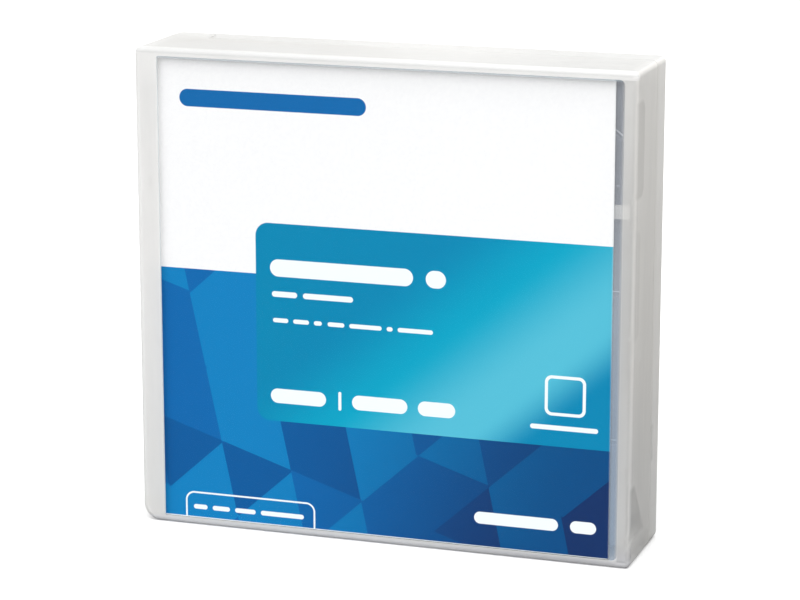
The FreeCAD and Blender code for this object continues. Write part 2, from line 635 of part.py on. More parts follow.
# leader pin, standing in the door corner
pin_x = reel_x + 43.5
pin_z = reel_z + 46.25
pin = body("leader_pin", pin_x, cart_y1, pin_z, TO_CARD)
turned(pin, "pin_turned", [
    (0, 3.0), (S["pin_flange"], 3.0), (S["pin_flange"], 3.9), (1.1, 4.2), (1.1, 4.9), (S["pin_shaft"], 5.1),
    (S["pin_shaft"], 16.4), (1.1, 16.6), (1.1, 17.3), (S["pin_flange"], 17.6), (S["pin_flange"], 18.5), (0, 18.5)])

# leaf springs that hold the pin's ends
leaves = []
for tag, lo, hi in (("a", 3.1, 4.9), ("b", 16.6, 18.4)):
    leaves.append(fuse("pin_leaf_" + tag, [
        box("leaf_blade_" + tag, pin_x + 2.7, pin_x + 3.0, up(hi), up(lo), pin_z - 3.4, pin_z + 2.7),
        box("leaf_foot_" + tag, pin_x + 2.7, in_x1, up(hi), up(lo), pin_z - 3.4, pin_z - 3.1)]))
pin_springs = doc.addObject("Part::Compound", "pin_springs")
pin_springs.Label = "pin_springs"
pin_springs.Links = leaves

# free length of tape from the pack to the pin
reach = math.hypot(43.5, 46.25)
touch = math.atan2(46.25, 43.5) + math.acos((S["pack_radius"].v + 0.3) / reach)
run = math.sqrt(reach ** 2 - (S["pack_radius"].v + 0.3) ** 2)
start_x = reel_x + math.cos(touch) * (S["pack_radius"].v + 0.3)
start_z = reel_z + math.sin(touch) * (S["pack_radius"].v + 0.3)
slope = math.degrees(math.atan2((pin_z - start_z).v, (pin_x - start_x).v))
leader_tape = box("leader_tape", 0, run - 1.6, 0, S["tape_width"], 0, 0.12)
place(leader_tape, start_x, up(3.65 + S["tape_width"]), start_z, ROT(V(0, 1, 0), -slope))

# sliding door and its spring
door_x1 = in_x1 - 0.2
door_z1 = in_z1 - 0.2
door_plate = box("door_plate", door_x1 - S["door_length"], door_x1, up(19.6), up(1.9), door_z1 - S["door_thick"], door_z1)
door_pull = box("door_pull", door_x1 - 3.2, door_x1 - 2.0, up(14.5), up(7.0), door_z1 - S["door_thick"] - 0.9,
                door_z1 - S["door_thick"] + 0.2)
access_door = fuse("access_door", [door_plate, door_pull])


def coil(label, radius, wire, pitch, length):
    """Open coil round its own Z axis; wire is the wire's radius."""
    path = doc.addObject("Part::Helix", label + "_path")
    path.Radius = radius
    path.Pitch = pitch
    path.Height = length
    section = doc.addObject("Part::Circle", label + "_section")
    section.Radius = wire
    section.Placement = FreeCAD.Placement(V(radius, 0, 0), ROT(V(1, 0, 0), 90))
    doc.recompute()
    o = doc.addObject("Part::Sweep", label)
    o.Label = label
    o.Sections = [section]
    o.Spine = (path, ["Edge1"])
    o.Solid = True
    o.Frenet = True
    return o


door_spring = coil("door_spring", 1.5, 0.22, 2.4, 27.6)
spring_x = reel_x + 0.9
place(door_spring, spring_x, up(8.0), cart_z1 - 4.1, ROT(V(0, 1, 0), 90))
brake_spring = coil("brake_spring", 8.2, 0.35, 2.4, 9.6)
place(brake_spring, reel_x, up(9.45), reel_z, TO_CARD)

# write-protect switch at the label edge
switch_plate = box("switch_plate", in_x0 + 0.1, in_x0 + 1.4, up(8.6), up(2.4), cart_z0 + 87.6, cart_z0 + 95.8)
switch_knob = box("switch_knob", cart_x0 + 0.3, in_x0 + 0.3, up(7.6), up(3.4), cart_z0 + 88.6, cart_z0 + 94.0)
switch_groove = box("switch_groove", cart_x0, cart_x0 + 0.8, up(8), up(3), cart_z0 + 90.9, cart_z0 + 91.7)
write_protect_switch = cut("write_protect_switch", fuse("switch_solid", [switch_plate, switch_knob]), [switch_groove])

# memory carrier, standing across the lower rear corner
memory_chip = box("memory_chip", 0, 16.0, 0, 9.0, 0, 1.0)
place(memory_chip, cart_x0 + 4.5, up(wall + 9.0), cart_z0 + 15.3, ROT(V(0, 1, 0), 45))

# screws
screws = []
for i, (x, z) in enumerate(SCREWS):
    solid = fuse("screw_solid_%d" % i, [
        rod("screw_shank_%d" % i, "y", S["screw_shank"], up(14.5), up(1.5), x, z),
        rod("screw_head_%d" % i, "y", S["screw_head"], up(2.0), up(0.55), x, z)])
    drive = doc.addObject("Part::Prism", "screw_drive_%d" % i)
    drive.Polygon = 6
    drive.Circumradius = 0.95
    drive.Height = 1.5
    place(drive, x, up(1.35), z, TURN["y"])
    screws.append(cut("screw_%d" % i, solid, [drive]))
shell_screws = doc.addObject("Part::Compound", "shell_screws")
shell_screws.Label = "shell_screws"
shell_screws.Links = screws

# plain label in the label edge's recess
cartridge_label = box("cartridge_label", cart_x0 + 0.05, cart_x0 + 0.2, up(19.3), up(2.3), cart_z0 + 5.3, cart_z0 + 85.0)

doc.recompute()

NODES = [case_lid, case_tray, insert_card, top_shell, bottom_shell, hub, upper, plate, pack, leader_tape, pin,
         pin_springs, button, brake_spring, pad_body, access_door, door_spring, write_protect_switch,
         memory_chip, shell_screws, cartridge_label]

for o in doc.Objects:
    if "Invalid" in o.State or "Error" in o.State:
        raise RuntimeError("%s (%s): %s" % (o.Name, o.Label, o.State))
for o in NODES:
    if o.Shape.isNull() or not o.Shape.isValid() or not o.Shape.Solids:
        raise RuntimeError("bad shape: %s" % o.Label)

os.makedirs("parts", exist_ok=True)
for o in NODES:
    o.Shape.exportStep("parts/%s.step" % o.Label)
    b = o.Shape.BoundBox
    print("%-22s solids %d volume %9.1f  x %.2f..%.2f y %.2f..%.2f z %.2f..%.2f" % (
        o.Label, len(o.Shape.Solids), o.Shape.Volume, b.XMin, b.XMax, b.YMin, b.YMax, b.ZMin, b.ZMax))
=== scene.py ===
import math

import bpy
from mathutils import Matrix, Vector


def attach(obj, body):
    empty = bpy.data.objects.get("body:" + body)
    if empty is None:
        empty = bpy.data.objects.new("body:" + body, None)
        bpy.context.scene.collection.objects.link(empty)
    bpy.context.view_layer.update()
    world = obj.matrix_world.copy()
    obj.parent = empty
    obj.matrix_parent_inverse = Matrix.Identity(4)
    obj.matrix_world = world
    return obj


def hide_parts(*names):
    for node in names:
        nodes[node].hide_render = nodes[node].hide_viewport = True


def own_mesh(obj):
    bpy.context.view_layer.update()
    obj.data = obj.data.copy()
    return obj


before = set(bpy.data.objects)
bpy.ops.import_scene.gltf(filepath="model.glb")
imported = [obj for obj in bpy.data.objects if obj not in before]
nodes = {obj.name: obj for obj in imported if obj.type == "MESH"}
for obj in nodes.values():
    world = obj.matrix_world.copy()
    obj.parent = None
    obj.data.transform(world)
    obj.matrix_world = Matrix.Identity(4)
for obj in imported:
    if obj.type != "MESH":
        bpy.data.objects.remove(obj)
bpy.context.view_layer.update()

MM = 0.001


# ------------------------------------------------------------------ node building
class Shader:
    """Builds one node material. Positions are the piece's own, in millimetres, in the row frame."""

    def __init__(self, name):
        self.mat = bpy.data.materials.new(name)
        self.mat.use_nodes = True
        self.nt = self.mat.node_tree
        self.nt.nodes.clear()
        self.out = self.nt.nodes.new("ShaderNodeOutputMaterial")
        place = self.nt.nodes.new("ShaderNodeTexCoord")
        scaled = self.nt.nodes.new("ShaderNodeVectorMath")
        scaled.operation = "SCALE"
        scaled.inputs["Scale"].default_value = 1000.0
        self.nt.links.new(place.outputs["Object"], scaled.inputs[0])
        self.p = scaled.outputs[0]
        split = self.nt.nodes.new("ShaderNodeSeparateXYZ")
        self.nt.links.new(self.p, split.inputs[0])
        self.x, self.y, self.z = split.outputs

    def link(self, value, socket):
        if isinstance(value, bpy.types.NodeSocket):
            self.nt.links.new(value, socket)
        elif value is not None:
            if isinstance(value, (tuple, list)) and len(value) == 3 and socket.type == "RGBA":
                value = (*value, 1.0)
            socket.default_value = value

    def math(self, op, a, b=None, clamp=False):
        n = self.nt.nodes.new("ShaderNodeMath")
        n.operation = op
        n.use_clamp = clamp
        self.link(a, n.inputs[0])
        if b is not None:
            self.link(b, n.inputs[1])
        return n.outputs[0]

    def add(self, a, b):
        return self.math("ADD", a, b)

    def sub(self, a, b):
        return self.math("SUBTRACT", a, b)

    def mul(self, a, b):
        return self.math("MULTIPLY", a, b)

    def ramp(self, v, low, high, to_low=0.0, to_high=1.0):
        """Smooth step of v from low to high."""
        n = self.nt.nodes.new("ShaderNodeMapRange")
        n.interpolation_type = "SMOOTHSTEP"
        self.link(v, n.inputs[0])
        for i, x in enumerate((low, high, to_low, to_high), 1):
            n.inputs[i].default_value = x
        return n.outputs[0]

    def mix(self, f, a, b):
        n = self.nt.nodes.new("ShaderNodeMix")
        n.data_type = "RGBA"
        self.link(f, n.inputs["Factor"])
        self.link(a, n.inputs[6])
        self.link(b, n.inputs[7])
        return n.outputs[2]

    def blend(self, f, a, b):
        n = self.nt.nodes.new("ShaderNodeMix")
        n.data_type = "FLOAT"
        self.link(f, n.inputs[0])
        self.link(a, n.inputs[2])
        self.link(b, n.inputs[3])
        return n.outputs[0]

    def at(self, x=1.0, y=1.0, z=1.0):
        """The position with each axis scaled."""
        n = self.nt.nodes.new("ShaderNodeVectorMath")
        n.operation = "MULTIPLY"
        self.link(self.p, n.inputs[0])
        n.inputs[1].default_value = (x, y, z)
        return n.outputs[0]

    def noise(self, scale, detail=2.0, rough=0.5, where=None, warp=0.0):
        n = self.nt.nodes.new("ShaderNodeTexNoise")
        self.link(where if where is not None else self.p, n.inputs["Vector"])
        n.inputs["Scale"].default_value = scale
        n.inputs["Detail"].default_value = detail
        n.inputs["Roughness"].default_value = rough
        n.inputs["Distortion"].default_value = warp
        return n.outputs[0]

    def voronoi(self, scale, feature="F1", where=None, output="Distance"):
        n = self.nt.nodes.new("ShaderNodeTexVoronoi")
        n.feature = feature
        self.link(where if where is not None else self.p, n.inputs["Vector"])
        n.inputs["Scale"].default_value = scale
        return n.outputs[output]

    def bump(self, height, strength, distance_mm, under=None):
        n = self.nt.nodes.new("ShaderNodeBump")
        n.inputs["Strength"].default_value = strength
        n.inputs["Distance"].default_value = distance_mm * MM
        self.link(height, n.inputs["Height"])
        if under is not None:
            self.link(under, n.inputs["Normal"])
        return n.outputs[0]

    def principled(self, color, rough, metallic=0.0, normal=None, ior=1.5, coat=0.0, coat_rough=0.1, sss=0.0,
                   sss_mm=(1.0, 1.0, 1.0), level=0.5, transmission=0.0):
        n = self.nt.nodes.new("ShaderNodeBsdfPrincipled")
        self.link(color, n.inputs["Base Color"])
        self.link(rough, n.inputs["Roughness"])
        n.inputs["Metallic"].default_value = metallic
        n.inputs["IOR"].default_value = ior
        n.inputs["Specular IOR Level"].default_value = level
        n.inputs["Coat Weight"].default_value = coat
        n.inputs["Coat Roughness"].default_value = coat_rough
        n.inputs["Subsurface Weight"].default_value = sss
        n.inputs["Subsurface Radius"].default_value = sss_mm
        n.inputs["Subsurface Scale"].default_value = MM
        n.inputs["Transmission Weight"].default_value = transmission
        if normal is not None:
            self.link(normal, n.inputs["Normal"])
        return n.outputs[0]

    def surface(self, shader):
        self.nt.links.new(shader, self.out.inputs[0])
        return self.mat

    def see(self, share, shader):
        """shader with that share of it see-through."""
        t = self.nt.nodes.new("ShaderNodeBsdfTransparent")
        n = self.nt.nodes.new("ShaderNodeMixShader")
        self.link(share, n.inputs[0])
        self.nt.links.new(shader, n.inputs[1])
        self.nt.links.new(t.outputs[0], n.inputs[2])
        return n.outputs[0]

    # areas in the X-Z plane (or Y-Z), as 0 to 1 masks with a soft edge
    def area(self, x0, x1, z0, z1, r=0.0, soft=0.06, u=None):
        hx, hz = (x1 - x0) / 2, (z1 - z0) / 2
        r = min(r, hx, hz)
        u = self.x if u is None else u
        qx = self.math("MAXIMUM", self.sub(self.math("ABSOLUTE", self.sub(u, (x0 + x1) / 2)), hx - r), 0.0)
        qz = self.math("MAXIMUM", self.sub(self.math("ABSOLUTE", self.sub(self.z, (z0 + z1) / 2)), hz - r), 0.0)
        d = self.math("SQRT", self.add(self.mul(qx, qx), self.mul(qz, qz)))
        return self.ramp(d, r - soft, r + soft, 1.0, 0.0) if r > 0 else self.ramp(d, 0.0, soft, 1.0, 0.0)

    def disc(self, x, z, r, soft=0.06):
        dx, dz = self.sub(self.x, x), self.sub(self.z, z)
        d = self.math("SQRT", self.add(self.mul(dx, dx), self.mul(dz, dz)))
        return self.ramp(d, r - soft, r + soft, 1.0, 0.0)

    def either(self, masks):
        out = masks[0]
        for m in masks[1:]:
            out = self.math("MAXIMUM", out, m)
        return out


def paint(name, mat):
    o = nodes[name]
    o.data.materials.clear()
    o.data.materials.append(mat)
    for f in o.data.polygons:
        f.material_index = 0


# ------------------------------------------------------------------ case plastic
WINDOW = (-53.0, 55.6, 1.8, 109.75)
BEHIND = (-53.8, 55.6, 1.15, 109.75)  # the same window on the pane's inner face


def case_plastic(name, windowed):
    s = Shader(name)
    cloud = s.noise(0.045, 3.0, 0.55, s.at(1.0, 2.0, 0.55), 0.6)
    streak = s.noise(0.5, 2.0, 0.5, s.at(1.0, 1.0, 0.12))
    grain = s.noise(5.5, 2.0, 0.6)
    wavy = s.noise(0.12, 2.0, 0.5)
    tone = s.add(s.mul(cloud, 0.7), s.mul(streak, 0.3))
    color = s.mix(s.ramp(tone, 0.3, 0.7), (0.835, 0.828, 0.808), (0.89, 0.888, 0.875))
    rough = s.blend(s.ramp(tone, 0.3, 0.7), 0.36, 0.46)
    openness = s.blend(s.ramp(tone, 0.25, 0.75), 0.22, 0.31)
    # closing side: painted light tints it warmer and lighter, more towards its top; it is also clearer towards its foot
    flank = s.ramp(s.x, 57.6, 58.35)
    color = s.mix(s.mul(flank, s.ramp(s.z, 15.0, 50.0, 0.15, 0.6)), color, (0.925, 0.905, 0.865))
    if windowed:
        # the wall is thicker at the pads on the closing side, thin in their pockets
        wall = s.mul(s.ramp(s.x, 56.3, 56.7), s.ramp(s.y, -12.9, -12.5))
        openness = s.sub(openness, s.mul(wall, s.ramp(s.z, 12.0, 50.0, -0.04, 0.045)))
        pad = s.either([s.area(-20.0, -2.4, 79.0, 107.6, 3.5, 0.7, s.y), s.area(-20.0, -4.6, 46.0, 79.3, 3.5, 0.9, s.y)])
        pocket = s.area(-20.0, -6.6, 83.6, 104.9, 2.6, 0.6, s.y)
        faint = s.area(-20.0, -8.6, 52.0, 76.6, 2.6, 0.9, s.y)
        # the lowest pocket slants forward towards its top
        low = s.mul(s.ramp(s.add(s.y, s.mul(s.sub(s.z, 6.0), 0.72)), -1.6, 0.2, 1.0, 0.0),
                    s.mul(s.ramp(s.z, 5.4, 7.2), s.ramp(s.z, 17.6, 19.4, 1.0, 0.0)))
        openness = s.blend(s.mul(wall, pad), openness, 0.185)
        openness = s.blend(s.mul(wall, pocket), openness, 0.355)
        openness = s.blend(s.mul(wall, faint), openness, 0.26)
        openness = s.blend(s.mul(wall, low), openness, 0.56)
        openness = s.blend(s.mul(wall, s.ramp(s.z, 1.5, 6.0, 0.7, 0.0)), openness, 0.55)
    else:
        openness = s.sub(openness, s.mul(flank, s.ramp(s.z, 12.0, 50.0, -0.04, 0.075)))
        # clearer patch low on the closing side's rim, where more of the dark inside shows
        patch = s.mul(s.area(5.3, 7.3, 19.8, 28.4, 0.8, 0.7, s.y), s.ramp(s.x, 56.3, 56.7))
        openness = s.blend(patch, openness, 0.42)
    # painted shade: the top face is darkened towards the closing side, and the rounded edge in front of it is darkened
    # along its length and made rougher
    top_face_shade = s.mul(s.ramp(s.z, 111.3, 111.5), s.ramp(s.x, 0.0, 54.0))
    color = s.mix(s.mul(top_face_shade, 0.85), color, (0.67, 0.67, 0.66))
    brow = s.mul(s.ramp(s.z, 110.2, 110.7), s.ramp(s.y, -12.4, -11.9, 1.0, 0.0))
    color = s.mix(brow, color, (0.72, 0.72, 0.715))
    rough = s.blend(brow, rough, 0.62)
    fine = s.bump(grain, 0.16, 0.05)
    normal = s.bump(wavy, 0.35, 0.35, fine)
    if windowed:
        # frame beside the window and the card tabs let more of the dark cartridge show
        right_frame = s.mul(s.mul(s.ramp(s.x, 55.4, 55.8), s.ramp(s.x, 57.6, 58.35, 1.0, 0.2)), s.ramp(s.y, -11.55, -11.35, 1.0, 0.0))
        tabs = s.mul(s.ramp(s.y, -11.35, -11.2), s.mul(s.ramp(s.y, -10.5, -10.3, 1.0, 0.0), s.ramp(s.x, 57.0, 57.3, 1.0, 0.0)))
        openness = s.blend(s.either([right_frame, tabs]), openness, s.ramp(s.z, 70.0, 122.0, 0.55, 0.26))
        # painted shade: the bottom rim under the window is a darker grey, darker still towards the closing side
        foot = s.mul(s.ramp(s.z, 1.2, 1.8, 1.0, 0.0), s.ramp(s.y, -11.55, -11.35, 1.0, 0.0))
        openness = s.blend(foot, openness, 0.16)
        color = s.mix(foot, color, s.mix(s.ramp(s.x, 0.0, 45.0), (0.81, 0.81, 0.82), (0.64, 0.64, 0.66)))
        # painted shade: the lower corner of the front at the closing side is darker
        heel = s.mul(s.mul(s.ramp(s.z, 1.8, 6.5, 1.0, 0.0), s.ramp(s.x, 54.6, 56.0)), s.ramp(s.y, -11.55, -11.35, 1.0, 0.0))
        color = s.mix(heel, color, (0.70, 0.70, 0.72))
        front = s.ramp(s.y, -11.55, -11.35, 1.0, 0.0)
        # painted light: a brighter rim over the window and left of it, lighter towards the top
        rim = s.mul(s.either([s.ramp(s.z, 109.6, 109.8), s.mul(s.ramp(s.x, -53.1, -52.9, 1.0, 0.0), s.ramp(s.z, 4.0, 8.0))]), front)
        color = s.mix(s.mul(s.mul(rim, 0.8), s.ramp(s.z, 110.2, 110.6, 1.0, 0.0)), color,
                      s.mix(s.ramp(s.z, 5.0, 70.0), (0.85, 0.85, 0.84), (0.955, 0.95, 0.94)))
        openness = s.blend(s.mul(rim, s.ramp(s.z, 100.0, 109.6)), openness, 0.12)
        outer = s.ramp(s.y, -12.4, -12.2, 1.0, 0.0)
        near = s.either([s.area(*WINDOW, r=1.3, soft=0.05), s.area(WINDOW[0], 0.0, WINDOW[2], WINDOW[3], r=0.45, soft=0.05)])
        clear = s.mul(s.blend(outer, s.area(*BEHIND, r=1.0, soft=0.05), near), front)
        # polished pane: almost nothing of its own but its shine
        rough = s.blend(clear, rough, 0.07)
        # the margin beside the card is a little hazier than the pane in front of it
        # and carries a painted reflection of the card's blue lower down; it fades into the frame at its outer edge
        margin = s.ramp(s.add(s.x, s.mul(s.sub(s.z, 110.0), 0.003)), 53.05, 53.45)
        pane = s.blend(margin, 0.9965, s.ramp(s.z, 50.0, 92.0, 0.72, 0.86))
        pane = s.blend(s.ramp(s.x, 54.7, 55.7), pane, 0.60)
        pane = s.blend(s.ramp(s.z, 109.35, 109.5), pane, 0.62)
        openness = s.blend(clear, openness, pane)
        margin_blue_reflection = s.mix(s.ramp(s.z, 15.0, 95.0), (0.55, 0.68, 0.84), (0.82, 0.85, 0.89))
        color = s.mix(s.mul(clear, s.mul(margin, s.ramp(s.x, 54.7, 55.7, 1.0, 0.0))), color, margin_blue_reflection)
        # painted light: a pale-blue line along the top of the pane, over the card's top edge
        color = s.mix(s.mul(clear, s.ramp(s.z, 109.3, 109.45)), color, (0.80, 0.92, 1.0))
        calm = s.bump(s.noise(0.05, 1.0, 0.4), 0.12, 0.3)
        n = s.nt.nodes.new("ShaderNodeMix")
        n.data_type = "VECTOR"
        s.link(clear, n.inputs[0])
        s.link(normal, n.inputs[4])
        s.link(calm, n.inputs[5])
        normal = n.outputs[1]
    body = s.principled(color, rough, normal=normal, ior=1.49)
    soft = s.nt.nodes.new("ShaderNodeBsdfTranslucent")
    s.link(color, soft.inputs[0])
    lit = s.nt.nodes.new("ShaderNodeMixShader")
    lit.inputs[0].default_value = 0.15
    s.nt.links.new(body, lit.inputs[1])
    s.nt.links.new(soft.outputs[0], lit.inputs[2])
    return s.surface(s.see(openness, lit.outputs[0]))


paint("case_lid", case_plastic("case lid plastic", True))
paint("case_tray", case_plastic("case tray plastic", False))


# ------------------------------------------------------------------ insert card
def ink_of(*c):
    """A printed tone under the studio's front light."""
    return tuple(0.88 * v for v in c)


def printed_card():
    s = Shader("printed card")
    # wavy facets of like blues: triangles from three families of lines
    facets = []
    for k, (ang, pitch, off) in enumerate(((12.0, 15.5, 3.0), (72.0, 15.5, 8.0), (132.0, 15.5, 5.5))):
        a = math.radians(ang)
        line = s.add(s.mul(s.x, math.cos(a)), s.mul(s.z, math.sin(a)))
        facets.append(s.math("FLOOR", s.math("DIVIDE", s.add(line, off), pitch)))
    cell = s.nt.nodes.new("ShaderNodeCombineXYZ")
    for i, f in enumerate(facets):
        s.link(f, cell.inputs[i])
    pick = s.nt.nodes.new("ShaderNodeTexWhiteNoise")
    pick.noise_dimensions = "3D"
    s.link(cell.outputs[0], pick.inputs[0])
    shade = pick.outputs["Value"]
    # the field runs from lighter blue at the left to navy at the lower right
    across = s.ramp(s.add(s.x, s.mul(s.z, -0.25)), -40.0, 46.0)
    light = s.mix(across, ink_of(0.004, 0.238, 0.575), ink_of(0.002, 0.080, 0.255))
    mid = s.mix(across, ink_of(0.003, 0.150, 0.460), ink_of(0.004, 0.050, 0.185))
    deep = s.mix(across, ink_of(0.002, 0.112, 0.365), ink_of(0.007, 0.036, 0.148))
    field = s.mix(s.ramp(shade, 0.36, 0.37), light, s.mix(s.ramp(shade, 0.70, 0.71), mid, deep))
    # teal panel with a slanting light band
    slant = s.add(s.mul(s.x, 0.648), s.mul(s.z, -0.7615))
    teal = s.mix(s.ramp(slant, -46.0, -24.0), ink_of(0.0, 0.262, 0.491), ink_of(0.0, 0.413, 0.624))
    teal = s.mix(s.ramp(slant, -28.5, -11.5), teal, ink_of(0.100, 0.571, 0.753))
    teal = s.mix(s.ramp(slant, -7.5, 2.5), teal, ink_of(0.0, 0.266, 0.503))
    paper = s.noise(1.4, 3.0, 0.6)
    white = s.mix(s.ramp(paper, 0.3, 0.7), (0.90, 0.905, 0.915), (0.93, 0.935, 0.94))
    ink = ink_of(0.006, 0.155, 0.455)
    pale = (0.88, 0.95, 0.97)

    color = s.mix(s.ramp(s.z, 60.8, 60.9), field, white)
    color = s.mix(s.area(-30.15, 60.0, 26.5, 72.8, r=3.1), color, teal)
    # upper band: one plain bar
    color = s.mix(s.area(-48.2, -3.6, 98.4, 102.4, r=2.0), color, ink)
    # panel: rows of plain bars where a title and notes would stand; (x0, x1, middle height, thickness)
    bars = [
        (-26.7, 7.4, 62.5, 4.0), (10.4, 15.1, 62.5, 4.0),
        (-26.3, -20.2, 56.4, 1.3), (-18.8, -6.8, 56.4, 1.3),
        (-26.1, -22.4, 50.3, 1.0), (-21.2, -17.4, 50.3, 1.0), (-16.2, -14.3, 50.3, 1.0), (-12.9, -8.9, 50.3, 1.0),
        (-7.7, 0.0, 50.3, 1.0), (1.2, 2.6, 50.3, 1.0), (3.8, 12.1, 50.3, 1.0),
        (-26.8, -13.4, 32.5, 3.4), (-7.1, 6.1, 32.5, 3.4), (8.6, 17.4, 32.5, 3.4),
        (34.9, 50.5, 30.8, 1.1),
        (22.0, 41.6, 8.2, 2.8), (44.4, 50.4, 8.2, 2.8),
        (-46.3, -42.9, 4.0, 1.1), (-41.6, -37.3, 4.0, 1.1), (-36.0, -30.9, 4.0, 1.1), (-29.6, -19.0, 4.0, 1.1),
    ]
    marks = [s.area(a, b, m - t / 2, m + t / 2, r=t / 2) for a, b, m, t in bars]
    marks.append(s.area(-10.4, -9.7, 30.3, 34.7, r=0.35))
    marks.append(s.math("SUBTRACT", s.area(38.2, 47.6, 33.6, 42.8, r=1.6), s.area(38.9, 46.9, 34.3, 42.1, r=1.0), True))
    marks.append(s.math("SUBTRACT", s.area(-48.3, -16.2, -8.0, 7.65, r=2.2), s.area(-47.9, -16.6, -9.0, 7.25, r=1.8), True))
    color = s.mix(s.either(marks), color, pale)
    # unprinted edge
    color = s.mix(s.either([s.ramp(s.x, -53.5, -53.4, 1.0, 0.0), s.ramp(s.z, 1.50, 1.62, 1.0, 0.0)]), color, pale)
    # plain white on the back
    color = s.mix(s.ramp(s.y, -11.50, -11.40), color, white)
    fibre = s.bump(s.noise(3.0, 3.0, 0.65), 0.10, 0.05)
    return s.surface(s.principled(color, s.blend(paper, 0.44, 0.56), normal=fibre, level=0.06))


paint("insert_card", printed_card())


# ------------------------------------------------------------------ cartridge plastics
def moulded(name, dark, light, rough=(0.42, 0.56), grain=3.2, strength=0.25, level=0.5, lit_pad_edges=False):
    """Spark-textured moulding: fine grain and soft tone changes; the last flag adds painted highlights along the pad
    edges on the front.
    """
    s = Shader(name)
    cloud = s.noise(0.09, 3.0, 0.6)
    fleck = s.noise(grain, 3.0, 0.65)
    color = s.mix(s.ramp(s.add(s.mul(cloud, 0.75), s.mul(fleck, 0.25)), 0.3, 0.7), dark, light)
    if lit_pad_edges:
        def near(d, half):
            return s.ramp(s.math("ABSOLUTE", d), half * 0.6, half * 1.4, 1.0, 0.0)
        # painted highlights where the pad edges and the slanting facet catch the light
        slant = s.sub(s.add(s.mul(s.x, 0.6265), s.mul(s.z, 0.7796)), 109.89)
        pad_edge_highlights = s.either([
            s.mul(near(slant, 0.17), s.mul(s.ramp(s.x, 51.0, 51.2), s.ramp(s.x, 54.5, 54.7, 1.0, 0.0))),
            s.mul(near(s.sub(s.z, 62.5), 0.13), s.ramp(s.x, 49.5, 49.7)),
            s.mul(near(s.sub(s.z, 28.75), 0.12), s.mul(s.ramp(s.x, 49.5, 49.7), 0.7)),
            s.mul(near(s.sub(s.z, 86.1), 0.12), s.mul(near(s.sub(s.x, 53.7), 0.45), 0.5)),
        ])
        color = s.mix(s.mul(pad_edge_highlights, s.ramp(s.y, -9.9, -9.7, 1.0, 0.0)), color, (0.55, 0.58, 0.64))
    pits = s.voronoi(grain * 0.9)
    normal = s.bump(s.add(fleck, s.mul(pits, 0.4)), strength, 0.06)
    r = s.blend(s.ramp(cloud, 0.3, 0.7), rough[0], rough[1])
    return s.surface(s.principled(color, r, normal=normal, level=level))


shell = moulded("cartridge shell", (0.150, 0.173, 0.220), (0.167, 0.191, 0.240))
paint("top_shell", moulded("cartridge shell front", (0.150, 0.173, 0.220), (0.167, 0.191, 0.240), lit_pad_edges=True))
paint("bottom_shell", shell)
paint("access_door", moulded("door plastic", (0.030, 0.033, 0.040), (0.045, 0.048, 0.056)))
paint("write_protect_switch", moulded("switch plastic", (0.42, 0.022, 0.012), (0.52, 0.035, 0.018), (0.3, 0.4), 4.0, 0.12))
reel_plastic = moulded("reel plastic", (0.56, 0.57, 0.58), (0.66, 0.67, 0.675), (0.3, 0.4), 2.6, 0.1)
paint("reel_hub", reel_plastic)
paint("upper_flange", reel_plastic)
brake_plastic = moulded("brake plastic", (0.60, 0.585, 0.54), (0.69, 0.675, 0.63), (0.34, 0.44), 2.6, 0.1)
paint("brake_button", brake_plastic)
paint("release_pad", brake_plastic)


def wound_tape():
    s = Shader("wound tape")
    dx, dz = s.sub(s.x, 4.0), s.sub(s.z, 56.55)
    r = s.math("SQRT", s.add(s.mul(dx, dx), s.mul(dz, dz)))
    rings = s.nt.nodes.new("ShaderNodeCombineXYZ")
    s.link(r, rings.inputs[0])
    bands = s.noise(0.9, 4.0, 0.7, rings.outputs[0])
    turns = s.noise(7.0, 2.0, 0.6, rings.outputs[0])
    color = s.mix(s.ramp(bands, 0.35, 0.65), (0.020, 0.014, 0.011), (0.050, 0.036, 0.029))
    normal = s.bump(s.add(turns, s.mul(bands, 0.6)), 0.35, 0.05)
    return s.surface(s.principled(color, s.blend(bands, 0.2, 0.34), normal=normal))


paint("tape_pack", wound_tape())


def leader():
    s = Shader("leader tape")
    along = s.noise(0.4, 2.0, 0.5, s.at(1.0, 0.15, 1.0))
    color = s.mix(s.ramp(along, 0.3, 0.7), (0.022, 0.016, 0.013), (0.040, 0.030, 0.025))
    return s.surface(s.principled(color, s.blend(along, 0.16, 0.26), normal=s.bump(along, 0.1, 0.05)))


paint("leader_tape", leader())


# ------------------------------------------------------------------ metals, board and label
def metal(name, dark, light, rough=(0.24, 0.38), lines=(8.0, 0.6, 8.0), strength=0.12):
    """Turned or stamped metal: fine directional lines over slow tone changes."""
    s = Shader(name)
    brushed = s.noise(1.2, 3.0, 0.6, s.at(*lines))
    cloud = s.noise(0.3, 2.0, 0.5)
    color = s.mix(s.ramp(s.add(s.mul(brushed, 0.5), s.mul(cloud, 0.5)), 0.35, 0.65), dark, light)
    return s.surface(s.principled(color, s.blend(brushed, rough[0], rough[1]), metallic=1.0,
                                  normal=s.bump(brushed, strength, 0.03)))


paint("drive_plate", metal("drive plate steel", (0.47, 0.47, 0.47), (0.60, 0.60, 0.60), lines=(2.0, 2.0, 2.0)))
paint("leader_pin", metal("turned pin steel", (0.56, 0.56, 0.57), (0.68, 0.68, 0.69), (0.14, 0.24), (0.5, 9.0, 0.5)))
wire = metal("spring steel", (0.42, 0.42, 0.43), (0.55, 0.55, 0.56), (0.22, 0.34), (4.0, 4.0, 4.0))
for n in ("brake_spring", "door_spring", "pin_springs"):
    paint(n, wire)
paint("shell_screws", metal("plated screws", (0.26, 0.26, 0.28), (0.38, 0.38, 0.40), (0.24, 0.36), (3.0, 3.0, 3.0)))


